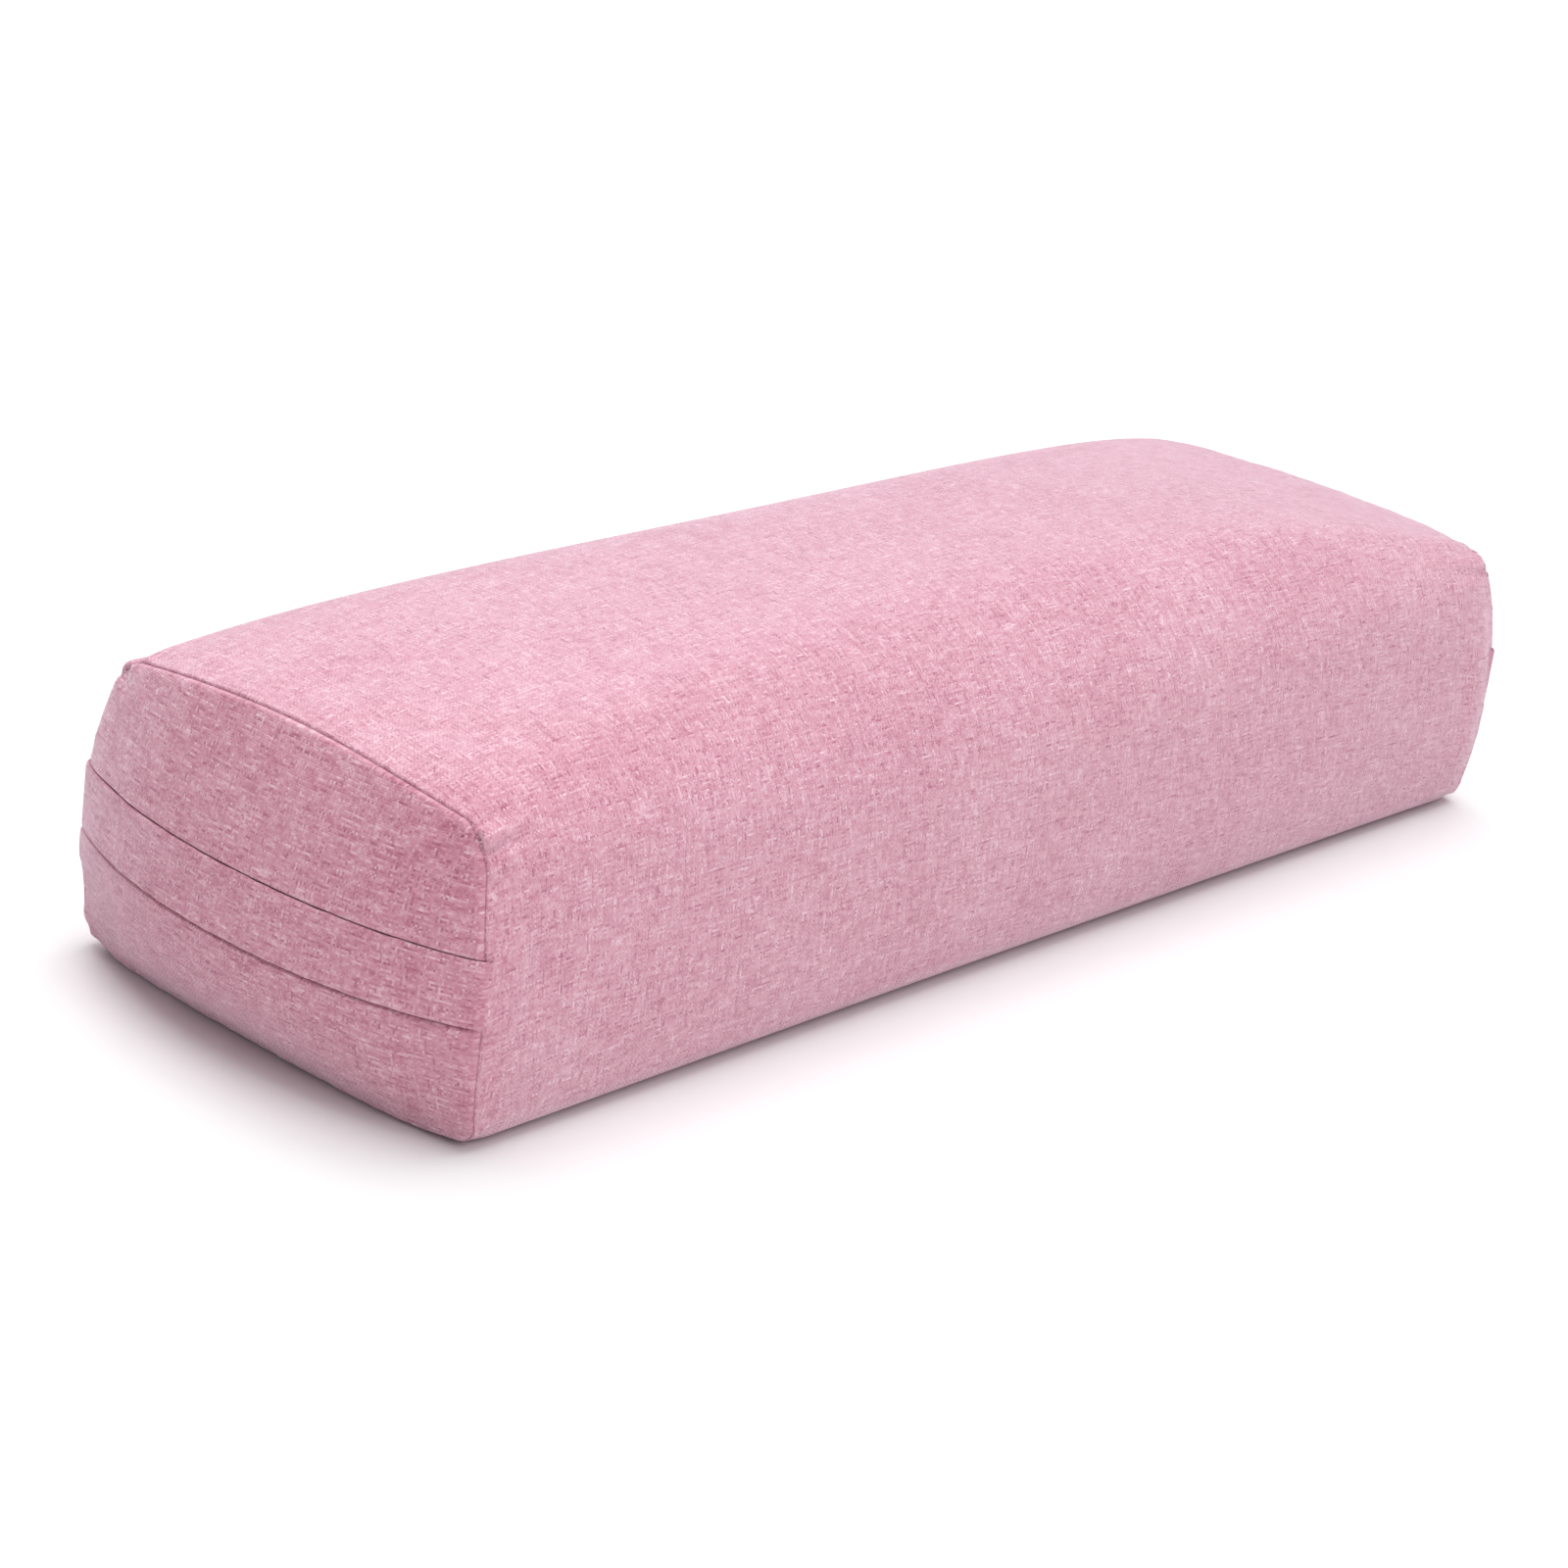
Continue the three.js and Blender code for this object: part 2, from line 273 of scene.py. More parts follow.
def grid_faces(numbers, ring=False, flip=False):
    """Quads between the numbers of a grid, which may close on itself across its columns."""
    if ring:
        numbers = np.concatenate([numbers, numbers[:, :1]], axis=1)
    a, b = numbers[:-1, :-1], numbers[1:, :-1]
    c, d = numbers[1:, 1:], numbers[:-1, 1:]
    quads = np.stack([d, c, b, a] if flip else [a, b, c, d], axis=-1)
    return quads.reshape(-1, 4).tolist()


def new_mesh(name, points, faces):
    mesh = bpy.data.meshes.new(name)
    mesh.from_pydata(np.asarray(points, float).tolist(), [], faces)
    mesh.validate()
    obj = bpy.data.objects.new(name, mesh)
    bpy.context.scene.collection.objects.link(obj)
    return obj


def weigh(obj, name, weights):
    group = obj.vertex_groups.new(name=name)
    for k, weight in enumerate(weights):
        if weight > 0:
            group.add([k], float(weight), "REPLACE")
    return group.name


CLOTH = {
    "quality": 6,
    "mass": 0.25,
    "tension_stiffness": 18,
    "compression_stiffness": 18,
    "shear_stiffness": 6,
    "bending_stiffness": 2.5,
    "use_pressure": True,
    "uniform_pressure_force": 4,
    "shrink_min": 0,
    "shrink_max": 0.03,
}


def blown(points, faces, hold, seams):
    """The points after the closed cover has filled as cloth under pressure."""
    obj = new_mesh("settling", points, faces)
    cloth = obj.modifiers.new("cloth", "CLOTH")
    for key, value in CLOTH.items():
        setattr(cloth.settings, key, value)
    cloth.settings.vertex_group_mass = weigh(obj, "hold", hold)
    cloth.settings.vertex_group_shrink = weigh(obj, "seams", seams)
    cloth.settings.effector_weights.gravity = 0
    cloth.point_cache.frame_start, cloth.point_cache.frame_end = 1, SETTLE_FRAMES
    scene = bpy.context.scene
    for number in range(1, SETTLE_FRAMES + 1):
        scene.frame_set(number)
    shaped = obj.evaluated_get(bpy.context.evaluated_depsgraph_get()).to_mesh()
    result = np.array([v.co for v in shaped.vertices])
    scene.frame_set(1)
    bpy.data.objects.remove(obj)
    return result


def whole_cover(wrap, panels):
    """The closed cover's points and faces, and the numbers of the wrap's and each panel's points."""
    numbers = np.arange(wrap[..., 0].size).reshape(wrap.shape[:2])
    points, faces = [wrap.reshape(-1, 3)], grid_faces(numbers, ring=True, flip=True)
    panel_numbers, count = {}, numbers.size
    for side, panel in panels.items():
        panel_numbers[side] = panel_vertices(count, numbers[0 if side < 0 else -1, 0])
        points.append(panel[1:-1, 1:-1].reshape(-1, 3))
        faces += grid_faces(panel_numbers[side], flip=side < 0)
        count += len(points[-1])
    return np.concatenate(points), faces, numbers, panel_numbers


def settled_cover():
    """The wrap's grid and both panels' grids, settled together."""
    wrap = wrap_grid()
    panels = {side: panel_grid(side) for side in SIDES.values()}
    points, faces, numbers, panel_numbers = whole_cover(wrap, panels)
    outward = vertex_normals(points, faces)

    # The cloth draws in at its end seams, and half as much beside them.
    seams = np.zeros(len(points))
    seams[numbers[[0, -1]]] = 1
    seams[numbers[[1, -2]]] = 0.5
    hold = np.full(len(points), FILLING_HOLD)
    hold[numbers[[0, -1]]] = SEAM_HOLD
    hold[numbers.size :] = PANEL_HOLD
    under = np.abs(points[:, 2]) < 0.5 * MM
    hold[under & (np.abs(points[:, 1]) < FLOOR_SHARE * half_width)] = 1
    from_zip = np.abs(np.arange(GIRTH) - OPEN_GIRTH - 1)
    from_zip = np.minimum(from_zip, GIRTH - from_zip)
    zip_hold = np.clip(1 - (from_zip - SLOT_CELLS) / ZIP_HOLD_CELLS, 0, 1)
    hold[numbers] = np.maximum(hold[numbers], zip_hold[None])

    points = points - SWELL * (1 - hold[:, None]) * outward
    moved = blown(points, faces, hold, seams) - points
    out = (moved * outward).sum(axis=1)
    along_surface = moved - out[:, None] * outward
    cap = np.where(out > 0, OUTWARD_CAP, INWARD_CAP)
    out = evened(cap * np.tanh(out / cap), faces)
    points = points + out[:, None] * outward + SLIDE_SHARE * along_surface
    points[:, 2] = np.maximum(points[:, 2], 0)
    return points[numbers], {side: points[n] for side, n in panel_numbers.items()}


def evened(values, faces):
    """Values at the points of a mesh, each moved half way to its neighbours' mean in each pass."""
    quads = np.array(faces)
    near, far = quads.ravel(), np.roll(quads, -1, axis=1).ravel()
    near, far = np.concatenate([near, far]), np.concatenate([far, near])
    count = np.bincount(near)
    for _ in range(EVENING_PASSES):
        values = (values + np.bincount(near, weights=values[far]) / count) / 2
    return values


def vertex_normals(points, faces):
    quads = points[np.array(faces)]
    flat = np.cross(quads[:, 2] - quads[:, 0], quads[:, 3] - quads[:, 1])
    total = np.zeros_like(points)
    for k in range(4):
        np.add.at(total, np.array(faces)[:, k], flat)
    return unit(total)


# ---- Finer grids from the settled one ----


def curve_weights(t):
    """Catmull-Rom weights of the four nearest points."""
    return np.stack([
        -0.5 * t + t**2 - 0.5 * t**3,
        1 - 2.5 * t**2 + 1.5 * t**3,
        0.5 * t + 2 * t**2 - 1.5 * t**3,
        -0.5 * t**2 + 0.5 * t**3,
    ])


def resampled(grid, at, axis, ring=False):
    """Smooth values of a grid of points at fractional places along one axis."""
    grid = np.moveaxis(grid, axis, 0)
    count = len(grid)
    start = np.floor(at).astype(int)
    if not ring:
        start = np.clip(start, 0, count - 2)
    weights = curve_weights(at - start)
    shape = (-1,) + (1,) * (grid.ndim - 1)
    total = 0
    for k in range(4):
        near = start + k - 1
        near = near % count if ring else np.clip(near, 0, count - 1)
        total = total + weights[k].reshape(shape) * grid[near]
    return np.moveaxis(total, 0, axis)


EDGE_PLACES = np.array([0, 0.03, 0.07, 0.12, 0.19, 0.28, 0.4, 0.6, 0.85, 1.15, 1.5, 1.9])
EDGE_CELLS = 2  # how many cells those places take up


def fine_places(cells, step=0.5):
    """Places along a row of cells, close together near both of its edges."""
    inner = np.arange(EDGE_CELLS, cells - EDGE_CELLS + step / 2, step)
    return np.concatenate([EDGE_PLACES, inner, cells - EDGE_PLACES[::-1]])


def grid_normals(grid):
    """Unit normals of an open grid of points."""
    return unit(np.cross(np.gradient(grid, axis=0), np.gradient(grid, axis=1)))


# ---- Seams and gathers ----

SEAM_ROLL, SEAM_WIDTH = 1.9 * MM, 2.3 * MM
SEAM_TUCK = 3 * MM  # how far the edge of the cloth runs on into the seam
SLOT_ROLL, SLOT_WIDTH, SLOT_TUCK = 0.7 * MM, 1.6 * MM, 1.1 * MM
GATHER_HEIGHT, GATHER_START, GATHER_REACH = 0.42 * MM, 2 * MM, 12 * MM
CORNER_GATHER, CORNER_REACH = 1.5 * MM, 9 * MM
CORNER_FOLD, CORNER_FOLD_WIDTH = 2.6 * MM, 12 * MM  # the folds fade out towards the floor
WRAP_PHASE, PANEL_PHASE = 1.3, 2.1  # so that the seams don't gather alike


def ripple(along, phase):
    """An uneven wave along a seam, about -1 to 1."""
    waves = ((9.1, 1.0), (13.7, 0.9), (23.3, 0.8), (41.0, 0.6))
    total = sum(a * np.sin(2 * np.pi * along / (w * MM) + phase * w) for w, a in waves)
    return total / sum(a for _, a in waves)


def gathers(along, away, corner, phase, fold):
    """Height of the small folds that a seam draws up, with one wider fold at each corner."""
    height = GATHER_HEIGHT + CORNER_GATHER * np.exp(-corner / CORNER_REACH)
    pinch = np.cos(2 * np.pi * corner / CORNER_FOLD_WIDTH) * np.exp(-((corner / CORNER_REACH) ** 2))
    rise = 1 - np.exp(-away / GATHER_START)
    return (height * ripple(along, phase) + fold * pinch) * rise * np.exp(-away / GATHER_REACH)


def roll(away, depth=SEAM_ROLL, width=SEAM_WIDTH):
    """How far the cloth turns down into a seam."""
    return depth * np.clip(1 - away / width, 0, 1) ** 2


CORNER_INDEX = np.cumsum([BACK_UPPER, TOP_CELLS, SIDE_CELLS, TOP_CELLS])


def seam_rings(wrap):
    """For each end, the seam's points, the way into the seam, and the distance to the nearest corner."""
    rings = {}
    for side in SIDES.values():
        points = wrap[0 if side < 0 else -1]
        tangent = np.roll(points, -1, axis=0) - np.roll(points, 1, axis=0)
        outward = unit(np.cross(tangent, [1, 0, 0]))
        middle = points.mean(axis=0)
        outward *= np.sign(((points - middle) * outward).sum(axis=1, keepdims=True))
        inward = -unit(outward + [side, 0, 0])
        corners = points[CORNER_INDEX]
        corner = np.linalg.norm(points[:, None] - corners[None], axis=-1).min(axis=1)
        rings[side] = (points, inward, corner)
    return rings


# ---- Cover panels ----

STRAP_PRESS, PRESS_EASE = 2.0 * MM, 0.5 * MM
PRESS_ABOVE, PRESS_BELOW = 0.2 * MM, 0.9 * MM  # how far the channel runs on past the strap
FACE_SHARE = 0.93  # of the width, over which the face under a strap is fitted
# Extra grid lines, in cells: past each edge of a strap, and about each corner of the wrap.
EDGE_LINES, CLEAR_OF_OTHERS = np.linspace(-0.09, 0.43, 14), 0.003
CORNER_LINES = np.linspace(-2.6, 2.6, 24)


def band_terms(y, z):
    """The terms that make up the reach of an end panel along its strap."""
    across, up = y / half_width, z / widest_level - 1
    return joined(1.0, across**2, across**4, across, up, up * across**2)


def strap_face(grid):
    """The smooth face nearest to an end panel along its strap, as shares of the band's terms."""
    x, y, z = np.moveaxis(grid.reshape(-1, 3), -1, 0)
    near = (z > strap_low[2]) & (z < strap_high[2]) & (np.abs(y) < FACE_SHARE * half_width)
    return np.linalg.lstsq(band_terms(y[near], z[near]), np.abs(x[near]), rcond=None)[0]


def strap_places(panel):
    """Extra rows of a panel, close together where the strap's edges press it."""
    levels = panel[TOP_CELLS // 2, ::-1, 2]
    rows = np.arange(SIDE_CELLS, -1, -1)
    foot, top = (np.interp(z, levels, rows) for z in (strap_low[2], strap_high[2]))
    return np.concatenate([top - EDGE_LINES, foot + EDGE_LINES]) + CLEAR_OF_OTHERS


def pressed(grid, side, face):
    """The end panel with the shallow channel that its strap presses in it."""
    above = grid[..., 2] - strap_high[2] - PRESS_ABOVE
    below = strap_low[2] - PRESS_BELOW - grid[..., 2]
    past_edge = np.maximum(above, below) / PRESS_EASE
    share = 1 / (1 + np.exp(np.clip(2.5 * past_edge, -30, 30)))
    floor = band_terms(grid[..., 1], grid[..., 2]) @ face - STRAP_PRESS
    reach = side * grid[..., 0]
    reach = reach + share * (np.minimum(floor, reach) - reach)
    return joined(side * reach, grid[..., 1], grid[..., 2])


def with_uv(obj, u, v):
    """Lays the cloth's own coordinates, in metres, on a mesh whose points come in the same order."""
    layer = obj.data.uv_layers.new(name="cloth")
    flat = joined(u, v).reshape(-1, 2)
    loops = np.zeros(len(obj.data.loops), int)
    obj.data.loops.foreach_get("vertex_index", loops)
    layer.data.foreach_set("uv", flat[loops].ravel())


def cloth_mesh(name, layers, faces, u, v):
    """A smooth mesh through one or two layers of a grid, with the cloth's own coordinates."""
    obj = new_mesh(name, np.stack(layers).reshape(-1, 3), faces)
    with_uv(obj, np.stack([u] * len(layers)), np.stack([v] * len(layers)))
    smooth(obj)
    return obj


def cloth_object(name, grid, u, v, flip=False, thick=CLOTH_THICK):
    """A panel of cloth with two faces: an open grid of points, and the same grid moved inward."""
    inner_grid = grid + grid_normals(grid) * (thick if flip else -thick)
    outer = np.arange(grid[..., 0].size).reshape(grid.shape[:2])
    inner = outer + outer.size
    faces = grid_faces(outer, flip=flip) + grid_faces(inner, flip=not flip)
    borders = [(outer[0], inner[0], True), (outer[-1], inner[-1], False)]
    borders += [(outer[:, 0], inner[:, 0], False), (outer[:, -1], inner[:, -1], True)]
    for near, far, turned in borders:
        faces += grid_faces(np.stack([near, far]), flip=turned != flip)
    return cloth_mesh(name, [grid, inner_grid], faces, u, v)


def smooth(obj):
    for polygon in obj.data.polygons:
        polygon.use_smooth = True


def close_up(obj):
    """Joins a rolled-up grid along its length, closes its open ends and keeps their edges crisp."""
    shape = bmesh.new()
    shape.from_mesh(obj.data)
    bmesh.ops.remove_doubles(shape, verts=shape.verts, dist=0.002 * MM)
    rims = [e for e in shape.edges if e.is_boundary]
    bmesh.ops.holes_fill(shape, edges=rims)
    for edge in rims:
        edge.smooth = False
    shape.to_mesh(obj.data)
    shape.free()


def tucked(grid, ways, axis, depth=SEAM_TUCK):
    """Adds a row past each edge of a grid, run on into the seam along the two given ways."""
    first = np.take(grid, [0], axis=axis) + depth * ways[0]
    last = np.take(grid, [-1], axis=axis) + depth * ways[1]
    return np.concatenate([first, grid, last], axis=axis)


def build_wrap(wrap, rings):
    """The long piece of the cover, from the slot's upper edge round to its lower edge."""
    near_corners = (CORNER_INDEX[:, None] + CORNER_LINES).ravel()
    rows = fine_places(ALONG, 0.8)
    columns = np.unique(np.append(fine_places(OPEN_GIRTH, 0.7), near_corners))
    closed = np.concatenate([wrap, wrap[:, :1]], axis=1)
    grid = resampled(resampled(closed, rows, 0), columns, 1)
    normal = -grid_normals(grid)
    from_left = running_length(grid, 0)
    around = running_length(grid, 1)
    ways = []
    for side, away in ((-1, from_left), (1, from_left[-1:] - from_left)):
        way, near = (resampled(a, columns, 0, ring=True) for a in rings[side][1:])
        ways.append(way[None])
        pinch = CORNER_FOLD * grid[..., 2] / end_height
        fold = gathers(around, away, near[None], WRAP_PHASE + side, pinch)
        grid = grid + fold[..., None] * normal + roll(away)[..., None] * way[None]
    slot_away = np.minimum(around, around[:, -1:] - around)
    sunk = roll(slot_away, SLOT_ROLL, SLOT_WIDTH) + stitch_dent(slot_away)
    grid = grid - sunk[..., None] * normal
    grid[..., 2] = np.maximum(grid[..., 2], 0)

    outer_face, outer_normal = grid, normal
    grid = tucked(grid, ways, 0)
    slot_way = np.pad(-normal[:, [0, -1]], ((1, 1), (0, 0), (0, 0)), mode="edge")
    grid = tucked(grid, [slot_way[:, :1], slot_way[:, 1:]], 1, SLOT_TUCK)
    u = from_left - from_left[len(rows) // 2]
    v = around - around[:, np.abs(columns - BACK_UPPER - TOP_CELLS / 2).argmin()][:, None]
    u, v = (np.pad(way, 1, mode="edge") for way in (u, v))
    obj = cloth_object("cover_wrap_cloth", grid, u, v, flip=True)
    dress(obj, "cover", ["cover_wrap"])
    build_slot_stitches(outer_face, outer_normal, around)


STITCH_INSET, DENT_DEPTH, DENT_WIDTH = 3.2 * MM, 0.35 * MM, 0.7 * MM


def stitch_dent(away):
    """How far the slot's row of stitches sinks the cloth."""
    return DENT_DEPTH * np.exp(-(((away - STITCH_INSET) / DENT_WIDTH) ** 2))


def build_panel(name, side, panel, rings):
    """An end panel. It returns what its strap needs: the face under it, and where its two ends lie."""
    places = fine_places(TOP_CELLS), np.sort(np.append(fine_places(SIDE_CELLS), strap_places(panel)))
    grid = resampled(resampled(panel, places[0], 0), places[1], 1)
    normal = side * grid_normals(grid)
    points, inward, corner = rings[side]
    dense = np.arange(0, GIRTH, 0.25)
    seam, way, near = (resampled(a, dense, 0, ring=True) for a in (points, inward, corner))
    along = running_length(seam, 0)
    gap = np.linalg.norm(grid[:, :, None] - seam[None, None], axis=-1)
    nearest = gap.argmin(axis=-1)
    away = gap.min(axis=-1)
    pinch = -CORNER_FOLD * grid[..., 2] / end_height
    fold = gathers(along[nearest], away, near[nearest], PANEL_PHASE + side, pinch)
    face = strap_face(grid)
    grid = pressed(grid + fold[..., None] * normal, side, face)
    grid = grid + roll(away)[..., None] * way[nearest]
    grid[..., 2] = np.maximum(grid[..., 2], 0)

    ways = way[nearest]
    grid = tucked(grid, [ways[:1], ways[-1:]], 0)
    ways = np.pad(ways, ((1, 1), (0, 0), (0, 0)), mode="edge")
    grid = tucked(grid, [ways[:, :1], ways[:, -1:]], 1)
    obj = cloth_object(name, grid, grid[..., 1], grid[..., 2], flip=side < 0)
    dress(obj, "cover_end", [f"cover_end_{name_of(side)}"])
    return face, {way: rim_place(panel[0 if way > 0 else -1]) for way in (-1, 1)}


def rim_place(rim):
    """How far out and across a side rim of an end panel lies at the strap's level."""
    return between(strap_level, rim[::-1, 2], np.abs(rim[::-1, :2]))


def name_of(side):
    return next(name for name, value in SIDES.items() if value == side)


# ---- Materials ----

THREAD = 0.8 * MM  # width of one yarn of the cover
SLUBS = 9 * MM, 7 * MM  # how far the shade of a yarn lasts, along U and along V
FLECK_SHARE, FLECK_SIZE = 0.38, 0.22  # of a yarn's shade, and of a slub's length
WEAVE_DEPTH = 0.16 * MM
WOBBLE, WOBBLE_SIZE = 0.9 * MM, 9 * MM  # how far yarns stray from straight, and over what distance
PATCH_DEPTH, PATCH_SIZE = 0.12, 60 * MM  # broad patches of darker and lighter cloth


class Nodes:
    """A short way to write a material's nodes."""

    def __init__(self, name):
        self.material = bpy.data.materials.new(name)
        self.material.use_nodes = True
        self.tree = self.material.node_tree
        self.shader = self.tree.nodes["Principled BSDF"]

    def add(self, kind, inputs=(), **settings):
        node = self.tree.nodes.new(kind)
        for key, value in settings.items():
            setattr(node, key, value)
        for key, value in dict(inputs).items():
            self.set(node.inputs[key], value)
        return node

    def set(self, socket, value):
        if isinstance(value, bpy.types.NodeSocket):
            self.tree.links.new(value, socket)
        else:
            socket.default_value = value

    def maths(self, operation, a, b=0.0):
        return self.add("ShaderNodeMath", {0: a, 1: b}, operation=operation).outputs[0]

    def plus(self, a, b):
        return self.maths("ADD", a, b)

    def times(self, a, b):
        return self.maths("MULTIPLY", a, b)

    def divided(self, a, b):
        return self.maths("DIVIDE", a, b)

    def mix(self, factor, a, b):
        node = self.add("ShaderNodeMix", {0: factor, 2: a, 3: b}, data_type="FLOAT")
        return node.outputs[0]

    def colours(self, factor, *stops):
        node = self.add("ShaderNodeValToRGB", {"Fac": factor})
        ramp = node.color_ramp
        while len(ramp.elements) < len(stops):
            ramp.elements.new(0.5)
        for element, (place, colour) in zip(ramp.elements, stops):
            element.position, element.color = place, (*colour, 1)
        return node.outputs["Color"]

    def grain(self, place, scale, detail):
        inputs = {"Vector": place, "Scale": scale, "Detail": detail}
        return self.add("ShaderNodeTexNoise", inputs).outputs["Fac"]

    def noise(self, x, y, z=0.0, detail=2.0):
        """Grain by its separate coordinates, which may be sockets or numbers."""
        place = self.add("ShaderNodeCombineXYZ", {0: x, 1: y, 2: z}).outputs[0]
        return self.grain(place, 1.0, detail)

    def finished(self, **sockets):
        """The material, with the sockets of its shader set or wired."""
        for name, value in sockets.items():
            self.set(self.shader.inputs[name.replace("_", " ")], value)
        return self.material

    def bump(self, height, depth, strength=1.0):
        inputs = {"Height": height, "Distance": depth, "Strength": strength}
        return self.add("ShaderNodeBump", inputs).outputs["Normal"]


def srgb(red, green, blue):
    """A colour given by its usual 0 to 255 values, as the linear values that shaders take."""
    values = np.array([red, green, blue]) / 255
    linear = np.where(values <= 0.04045, values / 12.92, ((values + 0.055) / 1.055) ** 2.4)
    return tuple(float(v) for v in linear)


def yarn_tone(n, across, along, seed, slub):
    """The shade of each yarn, which changes slowly along it: yarns lie side by side across."""
    yarn = n.maths("FLOOR", n.divided(across, THREAD))
    tone = n.noise(n.divided(along, slub), n.times(yarn, 3.71), seed, detail=1.0)
    fleck = n.noise(n.divided(along, slub * FLECK_SIZE), n.times(yarn, 5.13), seed + 9)
    return n.plus(n.times(tone, 1 - FLECK_SHARE), n.times(fleck, FLECK_SHARE))


def yarn_profile(n, across):
    """0 between two yarns and 1 on top of one."""
    return n.maths("ABSOLUTE", n.maths("SINE", n.times(across, math.pi / THREAD)))


def linen(name, pinks, crosswise):
    """Woven cloth of mixed light and dark yarns. crosswise is how often the yarns along V lie on top."""
    n = Nodes(name)
    place = n.add("ShaderNodeUVMap", uv_map="cloth").outputs["UV"]
    u, v = n.add("ShaderNodeSeparateXYZ", {"Vector": place}).outputs[:2]
    wobble = n.noise(*(n.times(way, 1 / WOBBLE_SIZE) for way in (u, v)))
    shift = n.times(n.maths("SUBTRACT", wobble, 0.5), WOBBLE)
    u, v = n.plus(u, shift), n.plus(v, shift)
    long_tone = yarn_tone(n, v, u, 1.0, SLUBS[0])
    cross_tone = yarn_tone(n, u, v, 4.0, SLUBS[1])
    step_u, step_v = (n.maths("FLOOR", n.divided(way, THREAD)) for way in (u, v))
    checker = n.maths("MODULO", n.maths("ABSOLUTE", n.plus(step_u, step_v)), 2.0)
    chance = n.noise(n.times(step_u, 0.37), n.times(step_v, 0.37), 2.0)
    over = n.plus(n.times(checker, 0.16), chance)
    over = n.maths("GREATER_THAN", over, 0.76 - 0.36 * crosswise)
    tone = n.mix(over, long_tone, cross_tone)
    broad = n.noise(n.divided(u, PATCH_SIZE), n.divided(v, PATCH_SIZE), 7.0)
    tone = n.plus(tone, n.times(n.maths("SUBTRACT", broad, 0.5), PATCH_DEPTH))
    height = n.mix(over, yarn_profile(n, v), yarn_profile(n, u))
    height = n.plus(height, n.times(tone, 0.8))
    return n.finished(
        Base_Color=n.colours(tone, *zip(SHADE_PLACES, (srgb(*pink) for pink in pinks))),
        Normal=n.bump(height, WEAVE_DEPTH, 0.7),
        Roughness=0.88,
        Specular_IOR_Level=0.45,
        Sheen_Weight=0.8,
        Sheen_Tint=(0.97, 0.92, 1.0, 1),
        Sheen_Roughness=0.45,
    )


def two_tones(n, tone, colour, dark, light):
    """A ramp between a darker and a lighter share of one colour."""
    stops = (0.3, tuple(dark * c for c in colour)), (0.7, tuple(min(1.0, light * c) for c in colour))
    return n.colours(tone, *stops)


def plain_weave(name, colour, pitch, depth, roughness=0.85):
    """A simple cloth or tape with a fine rib, by place in the object."""
    n = Nodes(name)
    place = n.add("ShaderNodeTexCoord").outputs["Object"]
    split = n.add("ShaderNodeSeparateXYZ", {"Vector": place}).outputs
    waves = [n.maths("SINE", n.times(split[k], 2 * math.pi / pitch)) for k in (0, 2)]
    rib = n.times(*waves)
    tone = n.plus(n.times(rib, 0.18), n.grain(place, 180.0, 4.0))
    colours = two_tones(n, tone, colour, 0.72, 1.12)
    return n.finished(Base_Color=colours, Normal=n.bump(rib, depth), Roughness=roughness)


def speckled(name, colour, scale, depth, roughness, metallic=0.0):
    """A moulded, cast or foamed surface with a fine uneven grain."""
    n = Nodes(name)
    grain = n.grain(n.add("ShaderNodeTexCoord").outputs["Object"], scale, 5.0)
    spread = n.plus(n.times(grain, 0.2), roughness - 0.1)
    colours = two_tones(n, grain, colour, 0.85, 1.08)
    normal = n.bump(grain, depth)
    return n.finished(Base_Color=colours, Normal=normal, Roughness=spread, Metallic=metallic)


# The shades of the yarns, from the darkest to the palest, and their places in the ramp.
SHADE_PLACES = 0.32, 0.44, 0.55, 0.70
PINKS = (178, 103, 128), (206, 140, 160), (220, 164, 181), (240, 204, 216)
# The end panels and straps are cut from the same cloth as the cover. Their pinks are the cover's pinks
# made darker: painted shade for the lesser light that falls on the ends.
SHADED_END_PINKS = (172, 96, 120), (200, 130, 151), (215, 155, 173), (237, 196, 208)

MATERIALS = {
    "cover": linen("cover_linen", PINKS, 0.5),
    # The end panels and the straps take the darkened pinks, which are painted shade.
    "cover_end": linen("cover_end_linen", SHADED_END_PINKS, 0.35),
    "strap": linen("strap_linen", SHADED_END_PINKS, 0.35),
    "zip_tape": plain_weave("zip_tape_weave", srgb(214, 142, 165), 0.7 * MM, 0.08 * MM),
    "zip_coil": speckled("zip_coil_nylon", srgb(206, 128, 154), 900.0, 0.02 * MM, 0.4),
    "thread": plain_weave("sewing_thread", srgb(205, 118, 148), 0.4 * MM, 0.05 * MM, 0.6),
    "zip_metal": speckled("zip_nickel", (0.56, 0.56, 0.58), 500.0, 0.01 * MM, 0.3, 1.0),
    "liner": plain_weave("liner_calico", srgb(238, 233, 220), 0.6 * MM, 0.08 * MM),
    "batting": speckled("batting_fibre", srgb(245, 244, 240), 120.0, 1.2 * MM, 0.95),
    "foam": speckled("foam_cells", srgb(238, 226, 180), 700.0, 0.4 * MM, 0.9),
    "label": plain_weave("label_satin", srgb(246, 246, 246), 0.3 * MM, 0.02 * MM, 0.5),
}


def dress(obj, material, stands_for=(), body=ROOT):
    """Gives a new piece its material and its body, and hides the CAD nodes it stands for."""
    obj.data.materials.append(MATERIALS[material])
    if stands_for:
        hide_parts(*stands_for)
    if body:
        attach(obj, body)


def dress_frame():
    """Gives every CAD node that still shows the material of its slot."""
    for part in frame["record"]["subparts"]:
        node = frame["nodes"][part["node"]]
        node.data.materials.clear()
        node.data.materials.append(MATERIALS[part["material_slot"]])


# ---- Straps ----

